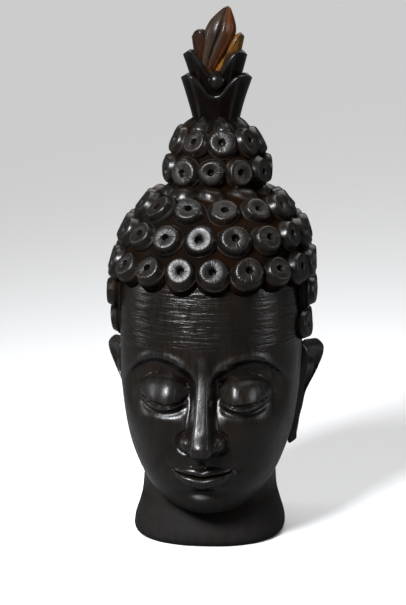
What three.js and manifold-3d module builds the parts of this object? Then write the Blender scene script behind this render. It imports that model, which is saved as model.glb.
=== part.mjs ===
// A carved buddha head, a table ornament in dark waxed hardwood, made from one block:
// face, long ears, neck, rows of drilled curls, topknot and a leafy finial.
// Millimetres, +Z up, the face looks along -Y. The origin is the middle of the neck's flat underside.
import * as THREE from 'three'
import Module from 'manifold-3d'

const wasm = await Module()
wasm.setup()

// ---------------------------------------------------------------- driving dimensions
const TIP_Z = 400 // tip of the flame, the whole height
const CROWN_Z = 259 // top of the skull, under the topknot
const HAIRLINE_Z = 203 // where the hair meets the middle of the forehead
const CHIN_Z = 24
const FACE_HALF = 69.5 // half the width of the face
const NECK_HALF = 50 // half the width of the neck at its waist
const FOOT_HALF = 58.2 // half the width of the neck's flared foot
const CURL_PITCH = 23.2 // from curl to curl along a row
const CURL_RADIUS = 10.9
const CURL_HEIGHT = 7.8
const HOLE_RADIUS = 2.5
const HAIR_STEP = 3.2 // the scalp stands this far out of the forehead
const HEAD_X = 2 // the head is carved a little to one side of the neck
const KNOT_X = HEAD_X + 2.8 // and the topknot a little further
const KNOT_Y = 3

// Facial canon: hairline to brow, brow to nose and nose to chin are equal thirds,
// the mouth is a third of the way down to the chin, and the face is five eyes wide.
const THIRD = (HAIRLINE_Z - CHIN_Z) / 3
const BROW_Z = HAIRLINE_Z - THIRD
const NOSE_Z = BROW_Z - THIRD
const MOUTH_Z = NOSE_Z - THIRD / 3
const EYE_WIDTH = (2 * FACE_HALF) / 5
const EYE_X = 1.08 * EYE_WIDTH
const EYE_Z = BROW_Z - 0.74 * EYE_WIDTH
const MOUTH_HALF = 23
const EAR_TOP = BROW_Z + 3.5
const EAR_END = MOUTH_Z + 1
const EAR_Y = 7 // the ear stands this far behind the middle of the head

// ---------------------------------------------------------------- small functions
const { abs, cos, exp, hypot, max, min, PI, round, sign, sin, sqrt } = Math

const clamp = (t, low = 0, high = 1) => min(max(t, low), high)
const mix = (a, b, t) => a + (b - a) * t
const bump = (x, width) => exp(-((x / width) ** 2))
const signedPower = (x, p) => sign(x) * abs(x) ** p
const smoothMax = (a, b, blend) => 0.5 * (a + b + hypot(a - b, blend))

// 0 at a, 1 at b, with level ends; a may be the larger.
function smooth(a, b, x) {
  const t = clamp((x - a) / (b - a))
  return t * t * (3 - 2 * t)
}

// Straight lines through [at, value...] rows, read at one place.
function along(table, at) {
  let i = 1
  while (i < table.length - 1 && table[i][0] < at) i++
  const t = clamp((at - table[i - 1][0]) / (table[i][0] - table[i - 1][0]))
  return table[i].map((value, k) => mix(table[i - 1][k], value, t))
}

// n angles from low to high, closer together where density is high.
function spaced(n, low, high, density) {
  const steps = 600
  const sums = [0]
  for (let i = 0; i < steps; i++) sums.push(sums[i] + density(mix(low, high, (i + 0.5) / steps)))
  const out = []
  for (let i = 0, j = 0; i < n; i++) {
    const want = (sums[steps] * i) / (n - 1)
    while (j < steps - 1 && sums[j + 1] < want) j++
    out.push(mix(low, high, (j + clamp((want - sums[j]) / (sums[j + 1] - sums[j]))) / steps))
  }
  return out
}

// ---------------------------------------------------------------- solids from rings of points
// Neighbouring rings are joined by quads, each cut along its shorter diagonal, and each end is closed
// by a fan to its middle point.
function ringSolid(rings) {
  const sides = rings[0].length
  const middle = ring => ring.reduce((sum, p) => sum.add(p), new THREE.Vector3()).divideScalar(sides)
  const points = [...rings.flat(), middle(rings[0]), middle(rings.at(-1))]
  const first = points.length - 2
  const last = points.length - 1
  const faces = []
  for (let j = 0; j < sides; j++) {
    const k = (j + 1) % sides
    for (let i = 0; i < rings.length - 1; i++) {
      const [a, b] = [i * sides, (i + 1) * sides]
      const rising = points[a + j].distanceTo(points[b + k])
      const falling = points[a + k].distanceTo(points[b + j])
      if (rising < falling) faces.push([a + j, a + k, b + k], [a + j, b + k, b + j])
      else faces.push([a + j, a + k, b + j], [a + k, b + k, b + j])
    }
    const end = (rings.length - 1) * sides
    faces.push([first, k, j], [last, end + j, end + k])
  }
  return solidOf(points, faces)
}

// Faces are turned outwards by the sign of the volume that they enclose.
function solidOf(points, faces) {
  const volume = faces.reduce((sum, [a, b, c]) => {
    return sum + points[a].dot(new THREE.Vector3().crossVectors(points[b], points[c]))
  }, 0)
  const turned = volume > 0 ? faces : faces.map(([a, b, c]) => [a, c, b])
  const vertProperties = new Float32Array(points.flatMap(p => p.toArray()))
  const triVerts = new Uint32Array(turned.flat())
  return new wasm.Manifold(new wasm.Mesh({ numProp: 3, vertProperties, triVerts }))
}

// A ring of points at equal angles: point(angle) for each, angle 0 facing front.
function ring(sides, point) {
  return Array.from({ length: sides }, (_, j) => point((2 * PI * j) / sides))
}

// ---------------------------------------------------------------- skull
// An egg: a superellipse upright and across, its lower end drawn forward for the jaw.
function skull(phi, theta) {
  const s = -signedPower(cos(theta), 2 / 2.6)
  const round_ = power => clamp(1 - abs(s) ** (s < 0 ? power : 3.3)) ** (1 / (s < 0 ? power : 3.3))
  const halfX = 0.985 * FACE_HALF * round_(2.45) * (1 + 0.06 * s)
  const front = 73 * round_(3) * (1 + 0.1 * s)
  const back = 78 * round_(2.4) * (1 + 0.1 * s)
  const centreY = -30 * ((1 - s) / 2) ** 1.5
  const across = signedPower(sin(phi), 2 / 2.2)
  const ahead = signedPower(cos(phi), 2 / 2.2)
  const aside = 2.2 * smooth(0.35, 0.95, s)
  return new THREE.Vector3(
    aside + halfX * across,
    centreY - (ahead > 0 ? front : back) * ahead,
    mix(CHIN_Z, CROWN_Z, (1 + s) / 2),
  )
}

function skullNormal(phi, theta) {
  const e = 1e-3
  const p = skull(phi, theta)
  const du = skull(phi + e, theta).sub(p)
  const dv = skull(phi, theta + e).sub(p)
  const n = du.cross(dv).normalize()
  return n.dot(p.sub(new THREE.Vector3(0, -5, 140))) < 0 ? n.negate() : n
}

// ---------------------------------------------------------------- face
// Each function gives how far its feature stands out of the egg at (x, z).
function browsAndSockets(x, z) {
  const ax = abs(x)
  const arch = BROW_Z + 5 - (ax < 34 ? 13 * ((ax - 34) / 27) ** 2 : 17 * ((ax - 34) / 26) ** 2)
  const below = arch - z
  const side = smooth(64, 52, ax) * smooth(3.5, 10, ax)
  const socket = 7 * smooth(-1.5, 5, below) * smooth(44, 16, below)
  const corner = 4.5 * bump(ax - 13.5, 6) * bump(z - (EYE_Z + 5), 10)
  return (2 * bump(below + 2, 3.6) - socket) * side - corner
}

// A ball behind a heavy upper lid, whose edge sags over a narrow lower lid.
function eyes(x, z) {
  const dx = (abs(x) - EYE_X) / 19
  const dz = (z - EYE_Z) / 13
  const arc = clamp(1 - dx * dx)
  const inside = smooth(1.05, 0.8, abs(dx))
  const lidEdge = EYE_Z - 2.2 - 4 * arc + 1.2 * dx
  const ball = 10.5 * clamp(1 - dx * dx - dz * dz) ** 0.6
  const lid = 1.5 * smooth(lidEdge - 1.5, lidEdge + 1.5, z) * smooth(EYE_Z + 14, EYE_Z + 7, z)
  const lowerLid = 1.2 * bump(z - (lidEdge - 5), 2.4)
  return ball + (lid + lowerLid) * inside
}

function nose(x, z) {
  const ax = abs(x)
  const root = BROW_Z - 3
  const t = clamp((root - z) / (root - NOSE_Z - 5.5))
  const height = z > root ? 2.6 * smooth(root + 18, root, z) : 2.6 + 18.5 * t ** 1.2
  const top = 2.2 + 3 * t
  const base = 8 + 6 * t ** 1.6
  const under = smooth(NOSE_Z - 4, NOSE_Z + 1.8, z)
  const ridge = height * (1 - smooth(0, 1, (ax - top) / (base - top))) * under
  const ball = 3.2 * bump(ax, 7.5) * bump(z - (NOSE_Z + 5.5), 6.5) * under
  const fromWing = hypot((ax - 11.4) / 6.6, (z - NOSE_Z - 4.2) / 7)
  return smoothMax(ridge + ball, 11.5 * clamp(1 - fromWing ** 2) ** 0.6, 1.6)
}

function mouth(x, z) {
  const ax = abs(x)
  const q = clamp(ax / MOUTH_HALF)
  const line = MOUTH_Z - 1.4 + 1.4 * (1 - bump(ax, 6.5)) + 3 * q ** 3
  const upper = line + 7.6 * (1 - q ** 1.9)
  const lower = line - 10 * (1 - q ** 2.2) ** 0.8
  const up = clamp((z - line) / max(upper - line, 0.3))
  const down = clamp((line - z) / max(line - lower, 0.3))
  const lips = (4.6 * sqrt(4 * up * (1 - up)) + 5.8 * sqrt(4 * down * (1 - down))) * (1 - q ** 3)
  const muzzle = 4 * bump(ax, 27) * bump(z - MOUTH_Z, 18)
  const parting = 1.9 * bump(z - line, 1.6) * smooth(MOUTH_HALF + 2, MOUTH_HALF - 3, ax)
  const corner = 2.6 * bump(ax - MOUTH_HALF - 1.5, 3.6) * bump(z - (MOUTH_Z + 2.6), 3.8)
  const hollow = 3.6 * bump(ax, 15) * bump(z - (MOUTH_Z - 15.5), 4)
  return muzzle + (ax < MOUTH_HALF ? lips : 0) - parting - corner - hollow
}

function chinAndCheeks(x, z) {
  const chin = 6 * bump(x, 17) * bump(z - (CHIN_Z + 12), 10)
  return chin + 4 * bump(abs(x) - 42, 18) * bump(z - (NOSE_Z + 16), 16)
}

// ---------------------------------------------------------------- head
function headPoint(phi, theta) {
  const p = skull(phi, theta)
  const { x, z } = p
  const relief = nose(x, z) + browsAndSockets(x, z) + eyes(x, z) + mouth(x, z) + chinAndCheeks(x, z)
  p.y -= relief * smooth(0, 0.45, cos(phi))
  p.x += HEAD_X
  return p
}

function head(columns, rows) {
  const turns = spaced(columns + 1, -PI, PI, phi => 0.13 + bump(phi, 1)).slice(0, -1)
  const drops = spaced(rows, 0.12, PI - 0.3, theta => {
    return 0.2 + smooth(0.5, 0.75, theta) * smooth(1.95, 1.65, theta)
  })
  return ringSolid(drops.map(theta => turns.map(phi => headPoint(phi, theta))))
}

// ---------------------------------------------------------------- curls
// Rows of curls run round a ground surface like courses of bricks. Each curl is a drilled bead that
// fills its own cell, and neighbouring cells share the corners of the valleys between them.
// ground(phi, level) is the surface, row.levels are the valleys below and above a row, row.turns gives
// the angle at a share of the way round, row.climb is how much of the ground's slope its curls take, and
// sunk(phi, level) says where the shell dips out of sight.
function curledShell(ground, rows, axis, sunk) {
  const points = []
  const faces = []
  const add = p => points.push(p) - 1
  const normalAt = (phi, level) => {
    const e = 1e-3
    const p = ground(phi, level)
    const n = ground(phi + e, level).sub(p).cross(ground(phi, level + e).sub(p)).normalize()
    return n.dot(p.sub(axis)) < 0 ? n.negate() : n
  }
  const corner = (phi, level) => {
    const depth = sunk(phi, level) ? -8 : 0
    return add(ground(phi, level).addScaledVector(normalAt(phi, level), depth))
  }
  const valleys = [...rows, null].map((row, k) => valleyCorners(rows[k - 1], row, corner))
  rows.forEach((row, k) => {
    for (let i = 0; i < row.count; i++) {
      const below = chain(valleys[k], valleys[k].above[i], valleys[k].above[(i + 1) % row.count])
      const above = chain(valleys[k + 1], valleys[k + 1].below[i], valleys[k + 1].below[(i + 1) % row.count])
      const cell = [...below, ...above.reverse()]
      const phi = row.turns((i + row.turn) / row.count)
      if (row.keep && !row.keep(phi)) {
        const middle = cell.reduce((sum, j) => sum.add(points[j]), new THREE.Vector3())
        fan(add(middle.divideScalar(cell.length)), cell, faces)
        continue
      }
      const normal = normalAt(phi, row.level)
      normal.z *= row.climb
      curl(cell, ground(phi, row.level), normal.normalize(), row, points, faces)
    }
  })
  const ends = [valleys[0].corners, [...valleys.at(-1).corners].reverse()]
  for (const end of ends) {
    const middle = end.reduce((sum, j) => sum.add(points[j]), new THREE.Vector3())
    fan(add(middle.divideScalar(end.length)), [...end].reverse(), faces)
  }
  return solidOf(points, faces)
}

function fan(middle, loop, faces) {
  loop.forEach((j, i) => faces.push([middle, j, loop[(i + 1) % loop.length]]))
}

// The corners of the valley between two rows, in order round the shell. The joints of both rows end
// there, each a little towards its own row; joints that nearly meet share one corner.
function valleyCorners(low, high, corner) {
  const joints = (row, side) => Array.from({ length: row ? row.count : 0 }, (_, i) => {
    const phi = row.turns((i - 0.5 + row.turn) / row.count)
    return { phi, side, i, valley: side === 'below' ? row.levels[1] : row.levels[0], row }
  })
  const all = [...joints(low, 'below'), ...joints(high, 'above')].sort((a, b) => a.phi - b.phi)
  const out = { corners: [], below: [], above: [] }
  for (let i = 0; i < all.length; i++) {
    const here = all[i]
    const next = all[i + 1]
    const meets = next && next.side !== here.side && next.phi - here.phi < 0.05
    const level = meets ? here.valley : mix(here.valley, here.row.level, low && high ? 0.38 : 0)
    const index = corner(here.phi, level)
    out.corners.push(index)
    out[here.side][here.i] = index
    if (meets) out[next.side][next.i] = index
    if (meets) i++
  }
  return out
}

// The corners from one joint to the next, both included.
function chain(valley, from, to) {
  const { corners } = valley
  const out = [from]
  for (let i = corners.indexOf(from); corners[i] !== to;) {
    i = (i + 1) % corners.length
    out.push(corners[i])
  }
  return out
}

// Walls up from the cell's corners to a round crown, and a conical hole down from the crown's middle.
function curl(cell, root, normal, { radius, height, plain }, points, faces) {
  const ringAt = (r, h) => cell.map(j => {
    const out = points[j].clone().sub(root).projectOnPlane(normal).setLength(r)
    return points.push(out.addScaledVector(normal, h).add(root)) - 1
  })
  const rings = [cell, ringAt(0.84 * radius, height)]
  if (!plain) rings.push(ringAt(HOLE_RADIUS, height))
  for (let k = 0; k < rings.length - 1; k++) {
    cell.forEach((_, i) => {
      const next = (i + 1) % cell.length
      faces.push([rings[k][i], rings[k][next], rings[k + 1][next]])
      faces.push([rings[k][i], rings[k + 1][next], rings[k + 1][i]])
    })
  }
  const floor = points.push(root.clone().addScaledVector(normal, (plain ? 1.15 : 0.3) * height)) - 1
  fan(floor, rings.at(-1), faces)
}

// ---------------------------------------------------------------- hair on the skull
// Height of the hair's lower edge: level over the forehead, down in front of the ears, low at the nape.
function hairEdge(phi) {
  const degrees = (abs(phi) * 180) / PI
  const besideEar = mix(HAIRLINE_Z, 156, smooth(62, 82, degrees))
  return mix(besideEar, 80, smooth(104, 126, degrees))
}

// Heights of the rows, nape to crown, and each row's turn as a share of its pitch.
const CURL_ROWS = [
  [99.5, 0.02],
  [121.5, 0.5],
  [143.5, 0.02],
  [165.5, 0.26],
  [187.5, -0.24],
  [209.5, 0.29],
  [231.5, -0.18],
  [248.5, 0.42],
  [257, 0.02],
]

function thetaAtHeight(z) {
  const s = (2 * (z - CHIN_Z)) / (CROWN_Z - CHIN_Z) - 1
  return Math.acos(-signedPower(s, 2.6 / 2))
}

// The angle at each share of the way round the skull, by length along its outline.
function aroundSkull(theta) {
  const steps = 360
  const arc = [[0, -PI]]
  for (let i = 1; i <= steps; i++) {
    const phi = mix(-PI, PI, i / steps)
    arc.push([arc[i - 1][0] + skull(phi, theta).distanceTo(skull(arc[i - 1][1], theta)), phi])
  }
  const length = arc[steps][0]
  return { length, turns: share => along(arc, (((share + 0.5) % 1 + 1) % 1) * length)[1] }
}

function skullHair() {
  const thetas = CURL_ROWS.map(([z]) => thetaAtHeight(z))
  const gaps = thetas.slice(1).map((theta, k) => (theta + thetas[k]) / 2)
  const levels = [2 * thetas[0] - gaps[0], ...gaps, mix(gaps.at(-1), PI, 0.75)]
  const rows = CURL_ROWS.map(([z, turn], k) => {
    const { length, turns } = aroundSkull(thetas[k])
    const low = smooth(205, 170, z)
    const plain = k === CURL_ROWS.length - 1
    return {
      level: thetas[k],
      levels: levels.slice(k, k + 2),
      count: round(length / CURL_PITCH),
      turn,
      turns,
      radius: CURL_RADIUS * (1 - 0.06 * low),
      height: (CURL_HEIGHT - 2.2 * low) * (plain ? 1.1 : 1),
      climb: 1 - 0.35 * smooth(232, 250, z),
      plain,
      keep: phi => z > hairEdge(phi) + 5.5,
    }
  })
  const ground = (phi, theta) => {
    const p = skull(phi, theta)
    p.addScaledVector(skullNormal(phi, theta), HAIR_STEP * (1 - 0.6 * smooth(190, 165, p.z)))
    p.x += HEAD_X
    return p
  }
  const sunk = (phi, theta) => skull(phi, theta).z < hairEdge(phi) - 3
  return curledShell(ground, rows, new THREE.Vector3(HEAD_X, -5, 140), sunk)
}

// ---------------------------------------------------------------- topknot
// Height and radius of the knot's ground.
const KNOT_PROFILE = [
  [248, 36.5],
  [262, 36.3],
  [276, 35.2],
  [288, 32.6],
  [298, 28.6],
  [306, 24.4],
  [312, 19.5],
  [317, 12],
]

// Rows of curls on the knot, the last a ring of plain lumps round the finial's foot.
const KNOT_ROWS = [
  { level: 278.5, levels: [252, 289.5], count: 11, turn: -0.03, radius: 11, height: 6.4 },
  { level: 299, levels: [289.5, 308], count: 9, turn: 0.31, radius: 11.2, height: 6.2 },
  { level: 311.5, levels: [308, 316], count: 7, turn: 0.35, radius: 8, height: 3, plain: true },
]

function topknot() {
  const ground = (phi, z) => {
    const r = along(KNOT_PROFILE, z)[1]
    return new THREE.Vector3(KNOT_X + r * sin(phi), KNOT_Y - r * cos(phi), z)
  }
  const turns = share => 2 * PI * ((((share + 0.5) % 1) + 1) % 1 - 0.5)
  const rows = KNOT_ROWS.map(row => ({ ...row, turns, climb: 1 }))
  return curledShell(ground, rows, new THREE.Vector3(KNOT_X, KNOT_Y, 250), () => false)
}

// ---------------------------------------------------------------- neck
// Height, half width, depth to the front and to the back.
const NECK_PROFILE = [
  [0, FOOT_HALF - 3, 57, 57],
  [2, FOOT_HALF - 0.6, 59.5, 59.2],
  [5, FOOT_HALF, 60.2, 59.8],
  [11, FOOT_HALF - 0.8, 59.2, 59.4],
  [20, FOOT_HALF - 3.7, 55.5, 58],
  [32, NECK_HALF + 1.2, 50.5, 57],
  [50, NECK_HALF, 46.5, 56.5],
  [90, NECK_HALF, 42, 58],
]

// Round at the foot and squarer above it.
function neck() {
  return ringSolid(NECK_PROFILE.map(([z, half, front, back]) => ring(20, a => {
    const power = 2 / mix(2.3, 2.8, smooth(8, 45, z))
    const depth = cos(a) > 0 ? front : back
    return new THREE.Vector3(half * signedPower(sin(a), power), -depth * signedPower(cos(a), power), z)
  })))
}

// ---------------------------------------------------------------- ears
// A long ear: rings shrink from the outline to its spine on the outer face and again on the inner one.
function ear(side) {
  const spine = q => 1.5 * sin(q * PI) + 7 * smooth(0.3, 0.9, q)
  const middle = (EAR_TOP + EAR_END) / 2
  const half = (EAR_TOP - EAR_END) / 2
  const steps = [[0.02, 1], [0.62, 1], [0.86, 1], [1, 0], [0.6, -1], [0.02, -1]]
  return ringSolid(steps.map(([edge, face]) => ring(16, a => {
    const upper = smooth(-0.1, 0.45, cos(a))
    const rise = half * signedPower(cos(a), 0.9 - 0.55 * upper)
    const rimQ = (rise + half) / (2 * half)
    const width = 3.6 + 12.4 * smooth(0.2, 0.85, rimQ)
    const rimS = spine(rimQ) + width * signedPower(sin(a), 0.7 - 0.4 * upper)
    const rimZ = middle + rise - 4.5 * upper * smooth(6, 26, rimS)
    const z = mix(middle, rimZ, edge)
    const q = (z - EAR_END) / (2 * half)
    const s = mix(spine(q), rimS, edge)
    const relief = 3.2 * bump(edge - 0.87, 0.1) - 2.6 * bump(edge - 0.66, 0.11) * smooth(0.35, 0.55, q)
    const concha = 4.2 * bump(s - 4.5, 6.5) * bump(q - 0.6, 0.13)
    const slot = 2.8 * bump(s - 1, 2.3) * smooth(0.05, 0.12, q) * smooth(0.42, 0.32, q)
    const out = 2.8 * face + (face > 0 ? relief - concha - slot : 0)
    const lie = along([[64, 58.5], [80, 61], [95, 63.5], [110, 65.5], [130, 67.5], [150, 68.5]], z)[1]
    const flare = 13 * smooth(-4, 24, s) * smooth(0.1, 0.98, q) ** 1.5
    return new THREE.Vector3(HEAD_X + side * (lie + flare + out), EAR_Y + s, z)
  })))
}

// ---------------------------------------------------------------- finial
const FINIAL_X = HEAD_X + 2.3
const FINIAL_Y = 2

// A calyx cup: two blunt wings left and right with a round notch between them, hollow above its floor.
// radii are those at the foot and at the wing tips, and spread is where the left and right wings level out,
// as shares of the radius.
function cup({ foot, top, notch, radii, bend, lean, spread }) {
  const wall = 3.6
  const floor = foot + 0.7 * (notch - foot)
  const wing = a => {
    const u = abs(sin(a))
    const rise = clamp(u / spread[sin(a) > 0 ? 1 : 0]) ** 1.35
    return sin((PI / 2) * rise) ** 2 - 0.12 * smooth(0.86, 1, u)
  }
  const at = (a, z, inset) => {
    const rise = clamp((z - foot) / (top - foot), 0, 1.2) ** bend
    const r = mix(radii[0], radii[1], rise * (0.3 + 0.7 * abs(sin(a)))) - inset
    return new THREE.Vector3(FINIAL_X + r * sin(a) + lean * (z - foot), FINIAL_Y - 0.84 * r * cos(a), z)
  }
  const rim = a => notch + (top - notch) * wing(a)
  const outside = [0, 0.5, 1].map(v => ring(18, a => at(a, mix(foot, rim(a), v), 0)))
  const inside = [1, 0].map(v => ring(18, a => at(a, mix(floor, rim(a) + 0.8 * v, v), wall)))
  return ringSolid([...outside, ...inside])
}

const CUPS = [
  { foot: 308, top: 348.5, notch: 333, radii: [16.2, 27.4], bend: 1.25, lean: 0, spread: [0.8, 0.8] },
  { foot: 322, top: 366, notch: 347, radii: [12.5, 24.8], bend: 1.15, lean: -0.02, spread: [0.85, 0.85] },
  { foot: 336, top: 381, notch: 350, radii: [11.5, 20.5], bend: 0.85, lean: 0.03, spread: [0.72, 1] },
]

// The flame leaf leans to the right: height, middle and half width.
const FLAME = [
  [340, -5, 4],
  [348, -4.6, 5.4],
  [354, -3.6, 6.6],
  [360, -1.6, 8.4],
  [367, 0.9, 10.2],
  [374, 3.4, 11.6],
  [380, 5.4, 11.9],
  [385, 6.5, 10.9],
  [390, 7.6, 8.8],
  [395, 9.2, 5.6],
  [398.5, 10.6, 2.8],
  [TIP_Z, 11.3, 0.4],
]

// The shorter leaf behind it, to the right.
const INNER_LEAF = [
  [335, 3, 8],
  [348, 5, 9.5],
  [358, 7.5, 9.8],
  [366, 10, 9.3],
  [372, 11.8, 8],
  [376.5, 13, 5.5],
  [379, 13.8, 2.5],
  [380, 14, 0.4],
]

// An oval at each height of the table, with a groove up the front.
function leaf(table, setBack) {
  return ringSolid(table.map(([z, x, half]) => ring(10, a => {
    const groove = 1 - 0.14 * bump(sin(a) + 0.05, 0.2) * (cos(a) > 0 ? 1 : 0)
    const y = FINIAL_Y + setBack - 0.8 * half * cos(a) * groove
    return new THREE.Vector3(HEAD_X + x + half * sin(a), y, z)
  })))
}

// A round bud in the front notch.
function bud() {
  return ringSolid([0.03, 0.25, 0.5, 0.75, 0.97].map(t => ring(8, a => {
    const r = 7.4 * sin(PI * t) ** 0.62
    const y = FINIAL_Y - 9.5 - 0.85 * r * cos(a)
    return new THREE.Vector3(FINIAL_X + 1 + r * sin(a), y, 335.5 + 17 * t ** 0.9)
  })))
}

// ---------------------------------------------------------------- the carving
const carving = [
  head(50, 38),
  skullHair(),
  topknot(),
  neck(),
  ear(1),
  ear(-1),
  ...CUPS.map(cup),
  leaf(INNER_LEAF, 0.8),
  leaf(FLAME, -5),
  bud(),
].reduce((whole, solid) => whole.add(solid))

const { vertProperties, triVerts } = carving.getMesh()
const geometry = new THREE.BufferGeometry()
geometry.setAttribute('position', new THREE.BufferAttribute(vertProperties, 3))
geometry.setIndex(new THREE.BufferAttribute(triVerts, 1))
geometry.computeVertexNormals()

const carvedHead = new THREE.Mesh(
  geometry,
  new THREE.MeshStandardMaterial({ color: 0x1c1613, roughness: 0.4, metalness: 0 }),
)
carvedHead.name = 'carved_head'

const model = new THREE.Group()
model.add(carvedHead)

export default model
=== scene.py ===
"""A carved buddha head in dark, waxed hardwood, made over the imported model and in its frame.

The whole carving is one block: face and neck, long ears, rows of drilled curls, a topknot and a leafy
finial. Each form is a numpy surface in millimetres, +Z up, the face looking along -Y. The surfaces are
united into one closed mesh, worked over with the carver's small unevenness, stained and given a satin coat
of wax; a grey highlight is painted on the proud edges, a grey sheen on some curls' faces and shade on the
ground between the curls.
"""
import math
import bpy
import numpy as np
from bpy.props import FloatProperty, FloatVectorProperty, IntProperty, PointerProperty
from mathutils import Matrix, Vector


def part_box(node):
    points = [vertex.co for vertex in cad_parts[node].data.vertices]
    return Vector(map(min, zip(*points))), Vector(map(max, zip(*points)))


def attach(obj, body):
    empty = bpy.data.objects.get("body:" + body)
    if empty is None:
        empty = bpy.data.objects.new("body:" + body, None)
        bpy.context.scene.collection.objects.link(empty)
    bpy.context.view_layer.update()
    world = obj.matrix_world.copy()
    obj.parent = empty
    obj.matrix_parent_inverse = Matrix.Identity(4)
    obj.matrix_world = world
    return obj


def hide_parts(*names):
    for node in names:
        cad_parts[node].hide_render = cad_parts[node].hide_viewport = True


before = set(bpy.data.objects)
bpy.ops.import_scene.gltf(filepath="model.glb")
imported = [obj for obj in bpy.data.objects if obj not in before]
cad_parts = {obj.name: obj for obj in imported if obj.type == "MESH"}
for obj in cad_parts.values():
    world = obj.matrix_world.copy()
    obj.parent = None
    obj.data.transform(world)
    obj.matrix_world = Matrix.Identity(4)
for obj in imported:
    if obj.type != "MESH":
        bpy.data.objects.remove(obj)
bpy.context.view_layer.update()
BLOCK = "carved_head"

bl_info = {
    "name": "Carved Buddha Head",
    "version": (1, 0, 0),
    "blender": (4, 5, 0),
    "location": "View3D > Sidebar > Carving",
    "description": "Carves, stains and lights a wooden buddha head with drilled curls",
    "category": "Object",
}

MM = 0.001
TIP_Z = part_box(BLOCK)[1].z / MM  # the tip of the flame, 400 mm up

# ---------------------------------------------------------------- driving sizes, in millimetres
CROWN_Z = 259.0  # top of the skull, under the topknot
HAIRLINE_Z = 203.0
CHIN_Z = 24.0
FACE_HALF = 69.5  # half the width of the face
NECK_HALF = 50.0  # of the neck at its waist
FOOT_HALF = 58.2  # and of its foot
CURL_PITCH = 23.2
CURL_RADIUS = 10.9
CURL_HEIGHT = 7.8
HAIR_STEP = 3.2  # the scalp stands this far out of the forehead
HEAD_X = 2.0  # the head is carved a little to one side of the neck
KNOT_X, KNOT_Y = HEAD_X + 2.8, 3.0
FINIAL_X, FINIAL_Y = HEAD_X + 2.3, 2.0

# Facial canon: hairline to brow, brow to nose and nose to chin are equal thirds, the mouth is a third of
# the way down to the chin, and the face is five eyes wide.
THIRD = (HAIRLINE_Z - CHIN_Z) / 3
BROW_Z = HAIRLINE_Z - THIRD
NOSE_Z = BROW_Z - THIRD
MOUTH_Z = NOSE_Z - THIRD / 3
EYE_WIDTH = 2 * FACE_HALF / 5
EYE_X = 1.08 * EYE_WIDTH
EYE_Z = BROW_Z - 0.74 * EYE_WIDTH
MOUTH_HALF = 23.0
EAR_TOP = BROW_Z + 3.5
EAR_END = MOUTH_Z + 1.0
EAR_Y = 7.0  # the ear stands this far behind the middle of the head


# ---------------------------------------------------------------- small functions
def bump(x, width):
    """A bell: e to the power of minus (x / width) squared."""
    return np.exp(-((x / width) ** 2))


def smooth(low, high, x):
    """0 at low and 1 at high with level ends, 3t^2 - 2t^3 between; low may be the larger."""
    t = np.clip((x - low) / (high - low), 0.0, 1.0)
    return t * t * (3.0 - 2.0 * t)


def signed_power(x, power):
    """The size of x to a power, with x's own sign."""
    return np.sign(x) * np.abs(x) ** power


def smooth_max(a, b, blend):
    """The larger of a and b, rounded over where they are within blend of each other."""
    return 0.5 * (a + b + np.hypot(a - b, blend))


def mix(a, b, t):
    """a at t = 0, b at t = 1."""
    return a + (b - a) * t


def spaced(count, low, high, density):
    """count values from low to high, closer together where density is high: equal steps of its integral."""
    t = np.linspace(low, high, 4001)
    d = density(t)
    total = np.concatenate([[0.0], np.cumsum((d[1:] + d[:-1]) / 2)])
    return np.interp(np.linspace(0.0, total[-1], count), total, t)


def spline(table, count):
    """A smooth curve through a table's rows: cubic pieces whose slope at a row is that of the chord between
    its neighbours."""
    rows = np.asarray(table, float)
    u = np.linspace(0, len(rows) - 1, count)
    i = np.clip(u.astype(int), 0, len(rows) - 2)
    f = (u - i)[:, None]
    padded = np.concatenate([2 * rows[:1] - rows[1:2], rows, 2 * rows[-1:] - rows[-2:-1]])
    p0, p1, p2, p3 = (padded[i + k] for k in range(4))
    return p1 + 0.5 * f * (p2 - p0 + f * (2 * p0 - 5 * p1 + 4 * p2 - p3 + f * (3 * (p1 - p2) + p3 - p0)))


def angles(count):
    """count equal angles round a circle, from 0."""
    return np.linspace(0, 2 * np.pi, count + 1)[:-1]


# ---------------------------------------------------------------- closed surfaces
def closed(grid, rise=1.0, place=(0.0, 0.0, 0.0)):
    """A closed surface from rows of points that run round a form: quads between rows, a fan over each end.
    Each point also carries its rise out of the scalp, 0 to 1, and its place on its own curl."""
    rows, columns = grid.shape[:2]
    count = rows * columns
    points = np.concatenate([grid.reshape(-1, 3), grid[0].mean(0)[None], grid[-1].mean(0)[None]])
    index = np.arange(count).reshape(rows, columns)
    after = np.roll(index, -1, 1)
    quads = np.stack([index[:-1], after[:-1], after[1:], index[1:]], -1).reshape(-1, 4)
    first = np.stack([np.full(columns, count), after[0], index[0]], -1)
    last = np.stack([np.full(columns, count + 1), index[-1], after[-1]], -1)
    marks = np.zeros((rows, columns, 4))
    marks[..., 0], marks[..., 1:] = rise, place
    marks = np.concatenate([marks.reshape(-1, 4), marks[0].mean(0)[None], marks[-1].mean(0)[None]])
    return points, quads, np.concatenate([first, last]), marks


def outward(surface, u, v, inside):
    """Unit normals of surface(u, v): its two slopes' cross product, turned away from the point inside."""
    e = 1e-3
    p = surface(u, v)
    n = np.cross(surface(u + e, v) - p, surface(u, v + e) - p)
    n /= np.maximum(np.linalg.norm(n, axis=-1, keepdims=True), 1e-12)
    return n * np.sign((n * (p - inside)).sum(-1, keepdims=True))


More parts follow.
